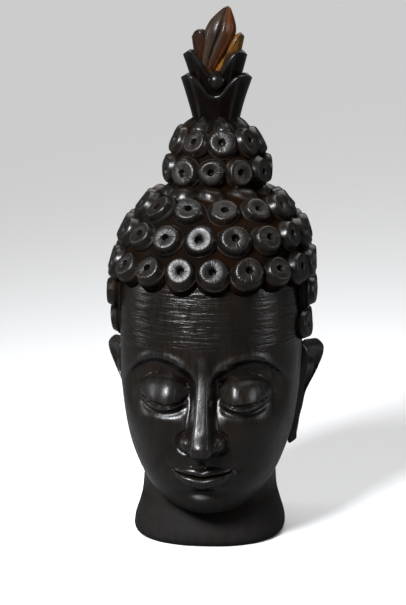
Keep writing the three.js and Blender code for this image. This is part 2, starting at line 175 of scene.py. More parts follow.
# ---------------------------------------------------------------- skull and face
def skull(phi, theta):
    """An egg, phi round it from the front and theta up it from the chin: a superellipse upright and across,
    with its lower end drawn forward for the jaw."""
    s = -signed_power(np.cos(theta), 2 / 2.6)

    def roundness(power):
        power = np.where(s < 0, power, 3.3)
        return np.clip(1 - np.abs(s) ** power, 0, 1) ** (1 / power)

    half_x = 0.985 * FACE_HALF * roundness(2.45) * (1 + 0.06 * s)
    front = 73.0 * roundness(3.0) * (1 + 0.1 * s)
    back = 78.0 * roundness(2.4) * (1 + 0.1 * s)
    centre_y = -30.0 * ((1 - s) / 2) ** 1.5
    across, ahead = signed_power(np.sin(phi), 2 / 2.2), signed_power(np.cos(phi), 2 / 2.2)
    x = HEAD_X + half_x * across + 2.2 * smooth(0.35, 0.95, s)
    y = centre_y - np.where(ahead > 0, front, back) * ahead
    z = mix(CHIN_Z, CROWN_Z, (1 + s) / 2) + 0 * phi
    return np.stack([x, y, z], -1)


SKULL_MIDDLE = np.array([HEAD_X, -5.0, 140.0])


def theta_at_height(z):
    """The egg's angle theta at a height: the inverse of its z."""
    s = 2 * (z - CHIN_Z) / (CROWN_Z - CHIN_Z) - 1
    return np.arccos(-signed_power(s, 1.3))


def brow_arc(ax):
    """How far the brow's arch has dropped at a distance from the middle of the face."""
    return np.where(ax < 34.0, 13.0 * ((ax - 34.0) / 27.0) ** 2, 17.0 * ((ax - 34.0) / 26.0) ** 2)


def brows_and_sockets(x, z):
    """Two arches that spring from the nose's root; below each a ledge drops into the socket."""
    ax = np.abs(x)
    below = BROW_Z + 5.0 - brow_arc(ax) - z
    side = smooth(66, 50, ax) * smooth(3.0, 10.0, ax)
    ledge = 7.0 * smooth(-1.6, 5.4, below) * smooth(44.0, 16.0, below)
    ridge = 1.3 * bump(below + 2.2, 3.2)
    corner = 4.5 * bump(ax - 13.5, 6.0) * bump(z - (EYE_Z + 5), 10.0)
    return (ridge - ledge) * side - corner


def lid_line(x):
    """The upper lid's edge: its share across the eye, its arc and its height."""
    dx = (np.abs(x) - EYE_X) / 19.0
    arc = np.clip(1 - dx ** 2, 0, 1)
    return dx, arc, EYE_Z - 2.2 - 4.0 * arc + 1.2 * dx


def eyes(x, z):
    """Each eye is a ball under a heavy upper lid with a crease above it; the lid's edge sags over a narrow
    slit, and the lower lid is a thin roll below that."""
    dx, arc, upper = lid_line(x)
    dz = (z - EYE_Z - 0.5) / 13.5
    inside = smooth(1.02, 0.84, np.abs(dx))
    lower = upper - 2.7 * arc ** 0.8 - 0.3
    crease = EYE_Z + 1.5 + 9.0 * np.sqrt(arc)
    ball = 10.5 * np.clip(1 - dx ** 2 - dz ** 2, 0, 1) ** 0.7
    lid = smooth(upper - 0.7, upper + 0.9, z) * smooth(crease + 0.5, crease - 2.5, z)
    slit = 1.9 * smooth(upper + 0.5, upper - 0.7, z) * smooth(lower - 0.7, lower + 0.6, z)
    roll = 1.5 * bump(z - (lower - 2.0), 1.7)
    hollow = 1.5 * bump(z - (lower - 5.8), 2.2) * smooth(1.0, 0.7, np.abs(dx))
    fold = 1.3 * bump(z - (crease + 0.8), 1.5) * smooth(1.12, 0.9, np.abs(dx))
    return ball + (lid - slit + roll - hollow) * inside - fold


def nose(x, z):
    """A ridge that rises and widens downwards, a round tip, and a wing each side over a nostril. The second
    value is how far the tip is drawn down."""
    ax = np.abs(x)
    root = BROW_Z - 3.0
    t = np.clip((root - z) / (root - NOSE_Z - 5.5), 0, 1)
    height = np.where(z > root, 2.6 * smooth(root + 18, root, z), 2.6 + 18.5 * t ** 1.2)
    top, base = 2.2 + 3.0 * t, 8.0 + 6.0 * t ** 1.6
    under = smooth(NOSE_Z - 4.0, NOSE_Z + 1.8, z)
    ridge = height * (1 - smooth(0.0, 1.0, (ax - top) / (base - top))) * under
    tip = 3.2 * bump(ax, 7.5) * bump(z - (NOSE_Z + 5.5), 6.5) * under
    from_wing = np.hypot((ax - 11.4) / 6.6, (z - NOSE_Z - 4.2) / 7.0)
    wing = 10.6 * np.clip(1 - from_wing ** 2, 0, 1) ** 0.6
    groove = 1.2 * bump(from_wing - 1.12, 0.18) * smooth(9.5, 13.0, ax)
    nostril = 5.5 * bump(ax - 6.2, 2.7) * bump(z - (NOSE_Z - 1.2), 1.8)
    drop = 2.8 * np.clip(ridge / 20.0, 0, 1) * bump(z - (NOSE_Z + 0.5), 5.0)
    return smooth_max(ridge + tip, wing, 2.6) - groove - nostril, drop


def mouth(x, z):
    """Two full lips that meet on a gently rising line, on a raised muzzle with a groove up to the nose,
    a dimple at each corner and a hollow over the chin."""
    ax = np.abs(x)
    q = np.clip(ax / MOUTH_HALF, 0, 1)
    line = MOUTH_Z - 1.4 + 1.4 * (1 - bump(ax, 6.5)) + 3.0 * q ** 3
    upper = line + 7.6 * (1 - q ** 1.9) - 1.7 * bump(ax, 3.2)
    lower = line - 10.0 * (1 - q ** 2.2) ** 0.8
    up = np.clip((z - line) / np.maximum(upper - line, 0.3), 0, 1)
    down = np.clip((line - z) / np.maximum(line - lower, 0.3), 0, 1)
    upper_lip = 4.6 * np.sqrt(np.clip(4 * up * (1 - up), 0, 1)) * (1 - 0.3 * up)
    lower_lip = 5.8 * np.sqrt(np.clip(4 * down * (1 - down), 0, 1))
    lips = np.where(ax < MOUTH_HALF, (upper_lip + lower_lip) * (1 - q ** 3), 0)
    muzzle = 4.0 * bump(ax, 27.0) * bump(z - MOUTH_Z, 18.0)
    channel = smooth(NOSE_Z - 2.5, NOSE_Z - 6, z) * smooth(MOUTH_Z + 6.0, MOUTH_Z + 9.5, z)
    groove = (1.7 * bump(ax, 2.4) - bump(ax - 4.6, 1.9)) * channel
    parting = 1.9 * bump(z - line, 0.9) * smooth(MOUTH_HALF + 2, MOUTH_HALF - 3, ax)
    dimple = 2.6 * bump(ax - (MOUTH_HALF + 1.5), 3.6) * bump(z - (MOUTH_Z + 2.6), 3.8)
    hollow = 3.6 * bump(ax, 15.0) * bump(z - (MOUTH_Z - 15.5), 4.0)
    return muzzle + lips - groove - parting - dimple - hollow


def chin_and_cheeks(x, z):
    """A round chin, full cheeks, and a soft fold from each nose wing towards the mouth's corner."""
    ax = np.abs(x)
    chin = 6.0 * bump(ax, 17.0) * bump(z - (CHIN_Z + 12.0), 10.0)
    cheek = 4.0 * bump(ax - 42, 18) * bump(z - (NOSE_Z + 16), 16)
    fold = 1.8 * bump(ax - (21 + 0.55 * (NOSE_Z + 2 - z)), 4.5)
    return chin + cheek - fold * smooth(MOUTH_Z - 4, MOUTH_Z + 6, z) * smooth(NOSE_Z + 6, NOSE_Z - 2, z)


def row_bend(x, z):
    """How far a row of the face's mesh bends up or down so that it runs along the brows, the lids and the
    line of the mouth: each line's own offset, fading away from the line."""
    ax = np.abs(x)
    dx, arc, _ = lid_line(x)
    q = np.clip(ax / MOUTH_HALF, 0, 1)
    brow = -np.clip(brow_arc(ax), 0, 12.0) * bump(z - BROW_Z - 4.0, 13.0)
    lid = (1.2 * dx - 4.0 * arc) * (np.abs(dx) < 1) * bump(z - (EYE_Z - 3.0), 4.6)
    crease = 5.5 * arc * bump(z - (EYE_Z + 5.5), 7.0)
    lips = (1.4 * (1 - bump(ax, 6.5)) + 3.0 * q ** 3) * smooth(40.0, 23.0, ax) * bump(z - MOUTH_Z + 1.4, 7.0)
    return brow + lid + crease + lips


def head(columns, rows):
    """The skull with the face's relief pushed forward out of its front half. Only the part below the hair
    is made: the scalp covers the rest."""
    turns = spaced(columns + 1, -np.pi, np.pi, lambda phi: 0.2 + bump(phi, 1.1))[:-1]
    top = theta_at_height(HAIRLINE_Z + 12.0)
    climbs = spaced(rows, 0.05, top, lambda t: 0.3 + smooth(0.4, 0.7, t) * smooth(2.0, 1.7, t))
    phi, theta = np.meshgrid(turns, climbs)
    p = skull(phi, theta)
    front = smooth(0.0, 0.45, np.cos(phi))
    theta = theta_at_height(p[..., 2] + row_bend(p[..., 0] - HEAD_X, p[..., 2]) * front)
    p = skull(phi, theta)
    x, z = p[..., 0] - HEAD_X, p[..., 2].copy()
    relief, drop = nose(x, z)
    relief = relief + brows_and_sockets(x, z) + eyes(x, z) + mouth(x, z) + chin_and_cheeks(x, z)
    p[..., 1] -= relief * front
    p[..., 2] -= drop * front
    return closed(p)


# ---------------------------------------------------------------- hair
# Heights of the rows of curls, nape to crown, and each row's turn as a share of its pitch.
CURL_ROWS = [
    (99.5, 0.02), (121.5, 0.5), (143.5, 0.02), (165.5, 0.26), (187.5, -0.24),
    (209.5, 0.29), (231.5, -0.18), (248.5, 0.42), (257.0, 0.02),
]


def hair_edge(phi):
    """Height of the hair's lower edge: level over the forehead, down before the ears, low at the nape."""
    degrees = np.degrees(np.abs(phi))
    beside_ear = mix(HAIRLINE_Z, 156.0, smooth(62, 82, degrees))
    return mix(beside_ear, 80.0, smooth(104, 126, degrees))


def scalp(phi, theta):
    """The hair's ground: the skull moved out along its normal by the hair's step, which is less low down."""
    p = skull(phi, theta)
    step = HAIR_STEP * (1 - 0.6 * smooth(190, 165, p[..., 2:]))
    return p + step * outward(skull, phi, theta, SKULL_MIDDLE)


def hair_ground(columns, rows):
    """The scalp from its lower edge to the crown, with a rounded edge that turns in below the skin. Away
    from the edge the wood left between the curls fills it out."""
    phi = angles(columns) - np.pi
    edge = theta_at_height(hair_edge(phi))
    above_edge = np.linspace(0.03, 1.0, rows)
    share = np.concatenate([[0.0, 0.0, 0.004, 0.012], above_edge])[:, None]
    sink = np.concatenate([[11.0, 3.0, 1.2, 0.3], -smooth(0.03, 0.12, above_edge)])[:, None]
    theta = mix(edge, np.pi - 0.05, share)
    phi = phi + 0 * theta
    return closed(scalp(phi, theta) - sink[..., None] * outward(skull, phi, theta, SKULL_MIDDLE), rise=0.0)


# Profile of a drilled curl, from the hole's floor up its funnel, over the flat crown and down the sloping
# wall to a spreading root: shares of the curl's radius and height.
CURL_PROFILE = np.array([
    (0.0, 0.25), (0.12, 0.27), (0.185, 0.42), (0.21, 0.8), (0.25, 0.93), (0.37, 0.97), (0.55, 0.99),
    (0.69, 1.0), (0.77, 0.965), (0.83, 0.89), (0.88, 0.76), (0.93, 0.55), (1.01, 0.27), (1.1, 0.05),
    (1.18, -0.9),
])
HOLE_SHARE = 0.22  # the hole's edge, as a share of the curl's radius
# A curl left as a plain lump.
LUMP_PROFILE = np.array([
    (0.0, 0.97), (0.2, 0.98), (0.4, 0.96), (0.58, 0.88), (0.73, 0.74), (0.86, 0.54), (0.97, 0.3),
    (1.07, 0.08), (1.15, -0.9),
])


def curl(root, axis, radius, height, rng, profile=CURL_PROFILE):
    """A turned profile stood on its root. The carver's hand shows in an oval and three-sided swelling of
    its outline, a tilt of its crown and a hole a little off its middle."""
    a = angles(20)
    r, h = profile[:, :1] * radius, profile[:, 1:] * height
    oval = rng.uniform(0.01, 0.06) * np.cos(2 * a + rng.uniform(0, 6.3))
    oval = oval + 0.03 * np.cos(3 * a + rng.uniform(0, 6.3))
    tilt = rng.uniform(-0.14, 0.14, 2)
    hole = rng.uniform(-1.1, 1.1, 2)
    outer = np.clip(r / radius, 0, 1) ** 2
    x = r * (1 + oval * outer) * np.cos(a) + hole[0] * (1 - outer)
    y = r * (1 + oval * outer) * np.sin(a) + hole[1] * (1 - outer)
    z = h + (tilt[0] * x + tilt[1] * y) * (h > 0.5)
    side = np.cross([0.0, 0.0, 1.0], axis)
    side /= np.linalg.norm(side)
    p = root + x[..., None] * side + y[..., None] * np.cross(axis, side) + z[..., None] * axis
    place = np.stack([x - hole[0], y - hole[1], 0 * x], -1) / radius
    place[..., 2] = rng.uniform(0.05, 1)
    rise = np.where(profile[::-1, :1] < HOLE_SHARE, 1.0, np.clip(profile[::-1, 1:], 0, 1))
    return closed(p[::-1], rise, place[::-1])


def skull_curls(rng, pitch, curl_radius, curl_height):
    """Curls at equal distances along the skull's outline at each row's height, above the hair's edge, in
    groups whose curls stay clear of each other. The last row, under the topknot, is left plain."""
    groups = [[] for _ in range(6)]
    for row, (z, turn) in enumerate(CURL_ROWS):
        theta = theta_at_height(z)
        phi = np.linspace(-np.pi, np.pi, 721)
        outline = skull(phi, np.full_like(phi, theta))
        arc = np.concatenate([[0.0], np.cumsum(np.linalg.norm(np.diff(outline, axis=0), axis=1))])
        count = round(arc[-1] / pitch)
        places = ((np.arange(count) + turn) / count + 0.5) % 1 * arc[-1]
        low, high = smooth(205, 170, z), smooth(232, 250, z)
        plain = z == CURL_ROWS[-1][0]
        for i, phi_curl in enumerate(np.interp(places, arc, phi)):
            if z < hair_edge(phi_curl) + 5.5:
                continue
            at = (np.array([phi_curl]), np.array([theta]))
            ahead = smooth(75, 40, np.degrees(abs(phi_curl)))
            lift = 0.35 * smooth(190, 205, z) * smooth(228, 214, z) * ahead
            axis = outward(skull, *at, SKULL_MIDDLE)[0] * (1, 1, 1 - 0.35 * high) + (0, 0, lift)
            axis /= np.linalg.norm(axis)
            radius = 1.06 * curl_radius * rng.uniform(0.96, 1.07) * (1 - 0.08 * low)
            height = (curl_height - 2.2 * low) * (1.1 if plain else 1.0)
            profile = LUMP_PROFILE if plain else CURL_PROFILE
            clear = 2 if i == count - 1 and count % 2 else i % 2
            groups[row % 2 * 3 + clear].append(curl(scalp(*at)[0], axis, radius, height, rng, profile))
    return [group for group in groups if group]


# ---------------------------------------------------------------- topknot
# Height and radius of the knot's ground.
KNOT_PROFILE = [
    (248, 36.5), (262, 36.3), (276, 35.2), (288, 32.6), (298, 28.6), (306, 24.4), (312, 19.5), (317, 12),
]
# Height, knot radius there, slope, count, turn, curl radius and curl height.
KNOT_ROWS = [(278.5, 34.6, 0.08, 11, -0.03, 11.0, 6.4), (299.0, 28.0, 0.42, 9, 0.31, 11.2, 6.2)]
LUMPS, LUMP_TURN = 7, 0.35


def topknot():
    """The knot's profile turned round its axis, with a ring of plain lumps round the finial's foot."""
    z, r = spline(KNOT_PROFILE, 48).T[:, :, None]
    a = angles(100)
    lump = 4.0 * np.cos(LUMPS * a / 2 - np.pi * LUMP_TURN) ** 2 * smooth(303.5, 309.5, z)
    r = r + lump
    p = np.stack([KNOT_X + r * np.sin(a), KNOT_Y - r * np.cos(a), z + 0.35 * lump + 0 * a], -1)
    return closed(p, rise=np.clip(lump / 3.0, 0, 1))


def knot_curls(rng):
    """Two rows of curls round the knot, in groups whose curls stay clear of each other."""
    groups = [[], [], []]
    for z, r, slope, count, turn, radius, height in KNOT_ROWS:
        for i, a in enumerate(2 * np.pi * (np.arange(count) + turn) / count):
            root = np.array([KNOT_X + r * np.sin(a), KNOT_Y - r * np.cos(a), z])
            normal = np.array([np.sin(a) * np.cos(slope), -np.cos(a) * np.cos(slope), np.sin(slope)])
            size = radius * rng.uniform(0.96, 1.05)
            groups[2 if i == count - 1 else i % 2].append(curl(root, normal, size, height, rng))
    return groups


# ---------------------------------------------------------------- neck and ears
# Height, half width, depth to the front and to the back.
NECK_PROFILE = [
    (0, FOOT_HALF - 3, 57, 57), (0.6, FOOT_HALF - 1.9, 58.2, 58), (2, FOOT_HALF - 0.7, 59.4, 59.1),
    (5, FOOT_HALF, 60.2, 59.8), (11, FOOT_HALF - 0.8, 59.2, 59.4), (20, FOOT_HALF - 3.7, 55.5, 58),
    (32, NECK_HALF + 1.2, 50.5, 57), (50, NECK_HALF, 46.5, 56.5), (70, NECK_HALF, 44, 57.2),
    (90, NECK_HALF, 42, 58),
]


def neck():
    """A superellipse at each height of the profile, waisted above a flared foot with a rounded edge."""
    z, half, front, back = spline(NECK_PROFILE, 44).T[:, :, None]
    a = angles(96)
    power = 2 / mix(2.3, 2.8, smooth(8.0, 45.0, z))
    x = half * signed_power(np.sin(a), power)
    y = -np.where(np.cos(a) > 0, front, back) * signed_power(np.cos(a), power)
    return closed(np.stack([x, y, z + 0 * a], -1))


# Height, and how far out the ear's outer face lies there before its rim flares.
EAR_LIE = [(64, 58.5), (80, 61.0), (95, 63.5), (110, 65.5), (130, 67.5), (150, 68.5)]


def ear(side):
    """A long ear. Rings shrink from its outline to its spine over the outer face and grow back behind it;
    the outer face has a rolled rim, a hollow and an inner fold, and a slit down the lobe."""
    a = angles(90)
    middle, half = (EAR_TOP + EAR_END) / 2, (EAR_TOP - EAR_END) / 2

    def spine(q):
        return 1.5 * np.sin(q * np.pi) + 7.0 * smooth(0.3, 0.9, q)

    upper = smooth(-0.1, 0.45, np.sin(a))
    rim_z = middle + half * signed_power(np.sin(a), 0.9 - 0.55 * upper)
    rim_q = (rim_z - EAR_END) / (2 * half)
    rim_width = 3.6 + 12.4 * smooth(0.2, 0.85, rim_q)
    rim_s = spine(rim_q) + signed_power(np.cos(a), 0.7 - 0.4 * upper) * rim_width
    rim_z = rim_z - 4.5 * upper * smooth(6.0, 26.0, rim_s)
    outer_rings = 30
    edge = np.concatenate([np.linspace(0.01, 1, outer_rings), np.linspace(0.97, 0.01, 8)])[:, None]
    outer = np.arange(len(edge))[:, None] < outer_rings
    z = mix(middle, rim_z, edge)
    q = (z - EAR_END) / (2 * half)
    s = mix(spine(q), rim_s, edge)
    rim = 3.2 * bump(edge - 0.87, 0.1) - 2.6 * bump(edge - 0.66, 0.11) * smooth(0.35, 0.55, q)
    fold = 1.8 * bump(edge - 0.48, 0.11) * smooth(0.45, 0.6, q)
    concha = 4.2 * bump(s - 4.5, 6.5) * bump(q - 0.6, 0.13)
    slit = 2.8 * bump(s - 1.0, 2.3) * smooth(0.05, 0.12, q) * smooth(0.42, 0.32, q)
    body = 2.8 * np.sqrt(np.clip(1 - edge ** 6, 0, 1))
    out = np.where(outer, body + rim + fold - concha - slit, -body)
    lie = np.interp(z, *np.transpose(EAR_LIE))
    flare = 13.0 * smooth(-4.0, 24.0, s) * smooth(0.1, 0.98, q) ** 1.5
    p = np.stack([HEAD_X + side * (lie + flare + out), EAR_Y + s, z + 0 * s], -1)
    return closed(p[:, ::-1] if side > 0 else p)


# ---------------------------------------------------------------- finial
# Each cup: foot and wing-tip heights, notch height, foot and wing radius, bend of its wall, lean, spread of
# its notch to the left and right as shares of the radius, and relief of the panel under the notch.
CUPS = [
    (308.0, 348.5, 333.0, 16.2, 27.4, 1.25, 0.0, 0.8, 0.8, 1.0),
    (322.0, 366.0, 347.0, 12.5, 24.8, 1.15, -0.02, 0.85, 0.85, 0.3),
    (336.0, 381.0, 350.0, 11.5, 20.5, 0.85, 0.03, 0.72, 1.0, 0.3),
]


def cup(foot, top, notch, foot_radius, top_radius, bend, lean, left, right, panel):
    """A calyx cup: two blunt wings left and right with a round notch between them, hollow above its floor.
    The wall flares as a power of the height, and a bevel runs round its rim. Where its notch is wider to
    the right, the wing there is marked as bare wood."""
    wall, floor = 3.6, foot + 0.7 * (notch - foot)
    a = angles(110)
    u = np.abs(np.sin(a))
    spread = np.where(np.sin(a) > 0, right, left)
    wing = np.sin(np.pi / 2 * np.clip(u / spread, 0, 1) ** 1.35) ** 2 - 0.12 * smooth(0.86, 1.0, u)
    rim = notch + (top - notch) * wing

    def radius(z):
        rise = np.clip((z - foot) / (top - foot), 0, 1.2) ** bend
        return foot_radius + (top_radius - foot_radius) * rise * (0.3 + 0.7 * u)

    def at(r, z):
        x = FINIAL_X + r * np.sin(a) + lean * (z - foot)
        return np.stack([x, FINIAL_Y - 0.84 * r * np.cos(a), z + 0 * a], -1)

    up = np.linspace(0, 1, 24)[:, None]
    ridge = panel * (bump(u - (0.6 + 0.12 * up), 0.05) - 0.6 * smooth(0.62, 0.5, u)) * smooth(0.0, 0.15, up)
    outside = mix(foot, rim, up)
    inside = mix(rim, floor, np.linspace(0, 1, 9)[:, None])
    outer_r, inner_r = radius(outside) + ridge, radius(inside) - wall
    bevel = at(mix(outer_r[-1:], inner_r[:1], 0.28), rim[None] + 1.0)
    lip = at(mix(outer_r[-1:], inner_r[:1], 0.7), rim[None] + 0.9)
    grid = np.concatenate([at(outer_r, outside), bevel, lip, at(inner_r, inside)])
    lopsided = left != right
    worn = 0.3 * lopsided
    bare = lopsided * smooth(0.2, 0.5, np.sin(a)) * smooth(362, 368, grid[..., 2]) * (np.cos(a) > 0)
    return closed(grid, place=np.stack([2 * bare + worn, worn + 0.7 * bare, 0 * bare], -1))


# Height, middle and half width of the flame leaf, which leans to the right.
FLAME = [
    (340, -5.0, 4.0), (348, -4.6, 5.4), (354, -3.6, 6.6), (360, -1.6, 8.4), (367, 0.9, 10.2),
    (374, 3.4, 11.6), (380, 5.4, 11.9), (385, 6.5, 10.9), (390, 7.6, 8.8), (395, 9.2, 5.6),
    (398.5, 10.6, 2.8), (TIP_Z, 11.3, 0.4),
]
# The shorter leaf behind it, to the right.
INNER_LEAF = [
    (335, 3.0, 8.0), (348, 5.0, 9.5), (358, 7.5, 9.8), (366, 10.0, 9.3), (372, 11.8, 8.0), (376.5, 13.0, 5.5),
    (379, 13.8, 2.5), (380, 14.0, 0.4),
]


LEAF_DEPTH = 0.8  # as a share of its width


def leaf(table, set_back, rows, sides, carved=1.0, offset=0.0):
    """An oval at each height of the table, with a groove and a rib carved up the front. It is marked as bare
    wood, from -1 on its left to 1 on its right, plus an offset."""
    z, x, half = spline(table, rows).T[:, :, None]
    a = angles(sides)
    s, climb = np.sin(a), (z - z[0]) / (z[-1] - z[0])
    front = smooth(0.0, 0.3, np.cos(a))
    groove = 0.26 * bump(s + 0.16 - 0.22 * climb, 0.09) + 0.1 * bump(s - 0.6, 0.12)
    rib = 0.07 * bump(s - 0.12 - 0.22 * climb, 0.12)
    depth = LEAF_DEPTH * half * (1 + carved * (rib - groove) * front)
    p = np.stack([HEAD_X + x + half * s, FINIAL_Y + set_back - depth * np.cos(a), z + 0 * a], -1)
    level = 0 * climb * s
    return closed(p, place=np.stack([level + s + offset, level + 1, level], -1))


def bud():
    """A round bud in the first notch: a ball drawn out a little downwards, flatter from front to back."""
    t = np.linspace(0.01, 0.99, 24)[:, None]
    a = angles(40)
    r = 7.4 * np.sin(np.pi * t) ** 0.62
    x, y = FINIAL_X + 1.0 + r * np.sin(a), FINIAL_Y - 9.5 - 0.85 * r * np.cos(a)
    return closed(np.stack([x, y, 335.5 + 17.0 * t ** 0.9 + 0 * a], -1))


# ---------------------------------------------------------------- meshes
def mesh_object(name, surfaces):
    """One mesh object from closed surfaces in millimetres. The marks go on the faces' corners, where a
    boolean keeps them."""
    points, faces, marks, start = [], [], [], 0
    for p, quads, triangles, mark in surfaces:
        points.append(p)
        marks.append(mark)
        faces += (quads + start).tolist() + (triangles + start).tolist()
        start += len(p)
    mesh = bpy.data.meshes.new(name)
    mesh.from_pydata((np.concatenate(points) * MM).tolist(), [], faces)
    mesh.update()
    corners = np.empty(len(mesh.loops), np.int32)
    mesh.loops.foreach_get("vertex_index", corners)
    marks = np.concatenate(marks)[corners].astype(np.float32)
    mesh.attributes.new("rise", "FLOAT", "CORNER").data.foreach_set("value", marks[:, 0].copy())
    place = mesh.attributes.new("curl_place", "FLOAT_VECTOR", "CORNER")
    place.data.foreach_set("vector", marks[:, 1:].ravel())
    obj = bpy.data.objects.new(name, mesh)
    bpy.context.scene.collection.objects.link(obj)
    return obj


def unite(name, groups):
    """One closed mesh object round all groups of surfaces; the surfaces inside a group stay clear of each
    other."""
    whole, *others = [mesh_object(f"{name}_{i}", group) for i, group in enumerate(groups)]
    for other in others:
        join = whole.modifiers.new(other.name, "BOOLEAN")
        join.operation, join.solver, join.object = "UNION", "MANIFOLD", other
    evaluated = whole.evaluated_get(bpy.context.evaluated_depsgraph_get())
    mesh = bpy.data.meshes.new_from_object(evaluated)
    mesh.name = name
    mesh.materials.clear()
    for obj in [whole, *others]:
        spare = obj.data
        bpy.data.objects.remove(obj)
        bpy.data.meshes.remove(spare)
    obj = bpy.data.objects.new(name, mesh)
    bpy.context.scene.collection.objects.link(obj)
    return obj


def vertex_array(mesh):
    """The mesh's points as an n by 3 array, in metres."""
    p = np.empty(len(mesh.vertices) * 3)
    mesh.vertices.foreach_get("co", p)
    return p.reshape(-1, 3)


def normal_array(mesh):
    """The mesh's vertex normals as an n by 3 array."""
    n = np.empty(len(mesh.vertices) * 3, np.float32)
    mesh.vertex_normals.foreach_get("vector", n)
    return n.reshape(-1, 3).astype(float)


def relaxed(p, edges, rounds):
    """Points moved to the mean of their neighbours, again and again."""
    a, b = edges.T
    count = np.bincount(np.concatenate([a, b]), minlength=len(p))[:, None]
    for _ in range(rounds):
        sums = [np.bincount(a, p[b, k], len(p)) + np.bincount(b, p[a, k], len(p)) for k in range(3)]
        p = 0.5 * (p + np.stack(sums, -1) / count)
    return p


def store(mesh, name, values):
    """A float attribute on the mesh's points."""
    layer = mesh.attributes.new(name, "FLOAT", "POINT")
    layer.data.foreach_set("value", values.astype(np.float32))


# The carver's unevenness: three waves' directions, lengths in millimetres and phases, and their height.
WAVES = [((0.8, 0.2, 0.6), 5.1, 0.3), ((-0.5, 0.7, 0.5), 6.7, 1.9), ((0.3, -0.6, 0.8), 4.3, 4.0)]
WAVE_HEIGHT = 0.07
# How the surroundings are averaged, near and wide, and the depth below them that counts as 1.
NEAR_ROUNDS, NEAR_DEPTH = 10, 0.25
WIDE_ROUNDS, WIDE_DEPTH = 80, 1.6


def work_over(obj):
    """Lets the carver's hand show and records where the surface is hollow or proud: each point's depth below
    the mean of the surface round it, near and wide, in shares of a set depth."""
    mesh = obj.data
    p = vertex_array(mesh)
    n = normal_array(mesh)
    waves = sum(np.sin(p @ np.array(direction) / (length * MM) + phase) for direction, length, phase in WAVES)
    standing = smooth(0.5 * MM, 4 * MM, p[:, 2])
    p = p + n * (WAVE_HEIGHT * MM * waves * standing)[:, None]
    mesh.vertices.foreach_set("co", p.ravel())
    mesh.update()
    edges = np.empty(len(mesh.edges) * 2, int)
    mesh.edges.foreach_get("vertices", edges)
    edges = edges.reshape(-1, 2)
    near = relaxed(p, edges, NEAR_ROUNDS)
    wide = relaxed(near, edges, WIDE_ROUNDS)
    store(mesh, "near_depth", ((near - p) * n).sum(1) / (NEAR_DEPTH * MM))
    store(mesh, "wide_depth", ((wide - p) * n).sum(1) / (WIDE_DEPTH * MM))
    x, y, z = p.T / MM
    store(mesh, "finial", smooth(309, 316, z))
    store(mesh, "forehead", smooth(-20, -40, y) * smooth(150, 158, z) * smooth(207, 203, z))


SHARP_ANGLE = math.radians(48)  # faces that meet at more than this keep a crisp edge


def carve(name, sizes):
    """The whole carving as one closed mesh."""
    rng = np.random.default_rng(sizes.seed)
    curl_sizes = [round(size / MM, 3) for size in (sizes.curl_pitch, sizes.curl_radius, sizes.curl_height)]
    inner_leaf = leaf(INNER_LEAF, set_back=0.5, rows=36, sides=48, carved=0.4, offset=2.0)
    flame = leaf(FLAME, set_back=-5.0, rows=56, sides=72)
    groups = [[head(columns=220, rows=180)], [hair_ground(columns=110, rows=42)], [topknot()]]
    groups += [*skull_curls(rng, *curl_sizes), *knot_curls(rng)]
    groups += [[neck()], [ear(1)], [ear(-1)], *[[cup(*values)] for values in CUPS]]
    groups += [[inner_leaf], [flame], [bud()]]
    obj = unite(name, groups)
    work_over(obj)
    obj.data.polygons.foreach_set("use_smooth", np.ones(len(obj.data.polygons), bool))
    obj.data.set_sharp_from_angle(angle=SHARP_ANGLE)
    return obj


# ---------------------------------------------------------------- finish
def add(tree, kind, inputs=(), **settings):
    """A node with its settings and inputs: a socket is linked, anything else is the input's own value."""
    node = tree.nodes.new(kind)
    for name, value in settings.items():
        setattr(node, name, value)
    for key, value in dict(inputs).items():
        if isinstance(value, bpy.types.NodeSocket):
            tree.links.new(value, node.inputs[key])
        else:
            node.inputs[key].default_value = value
    return node


def stroked(tree, vector, scale, turn=(0.0, 0.0, 0.0), detail=3.0):
    """Noise drawn out into strokes: scale is how many fit in a metre along each axis."""
    place = add(tree, "ShaderNodeMapping", {"Vector": vector, "Scale": scale, "Rotation": turn})
    noise = add(tree, "ShaderNodeTexNoise", {
        "Vector": place.outputs[0], "Scale": 1.0, "Detail": detail, "Roughness": 0.55})
    return noise.outputs["Fac"]


def mapped(tree, value, low, high, to_low=0.0, to_high=1.0):
    """value's range low to high carried to to_low to to_high, level beyond."""
    return add(tree, "ShaderNodeMapRange", {
        "Value": value, "From Min": low, "From Max": high, "To Min": to_low, "To Max": to_high}).outputs[0]


def maths(tree, operation, a, b=0.0):
    """One arithmetic step on two values."""
    return add(tree, "ShaderNodeMath", {0: a, 1: b}, operation=operation).outputs[0]


def plus(tree, a, b):
    """Sum of two values."""
    return maths(tree, "ADD", a, b)


def times(tree, a, b):
    """Product of two values."""
    return maths(tree, "MULTIPLY", a, b)


def mixed(tree, share, a, b):
    """Value b over value a by a share."""
    return add(tree, "ShaderNodeMix", {0: share, 2: a, 3: b}).outputs[0]


def blended(tree, share, a, b):
    """Colour b over colour a by a share."""
    mixer = add(tree, "ShaderNodeMix", data_type="RGBA")
    for key, value in ((0, share), (6, a), (7, b)):
        if isinstance(value, bpy.types.NodeSocket):
            tree.links.new(value, mixer.inputs[key])
        else:
            mixer.inputs[key].default_value = value
    return mixer.outputs[2]


def attribute(tree, name):
    """A float attribute of the mesh's points."""
    return add(tree, "ShaderNodeAttribute", attribute_name=name).outputs["Fac"]


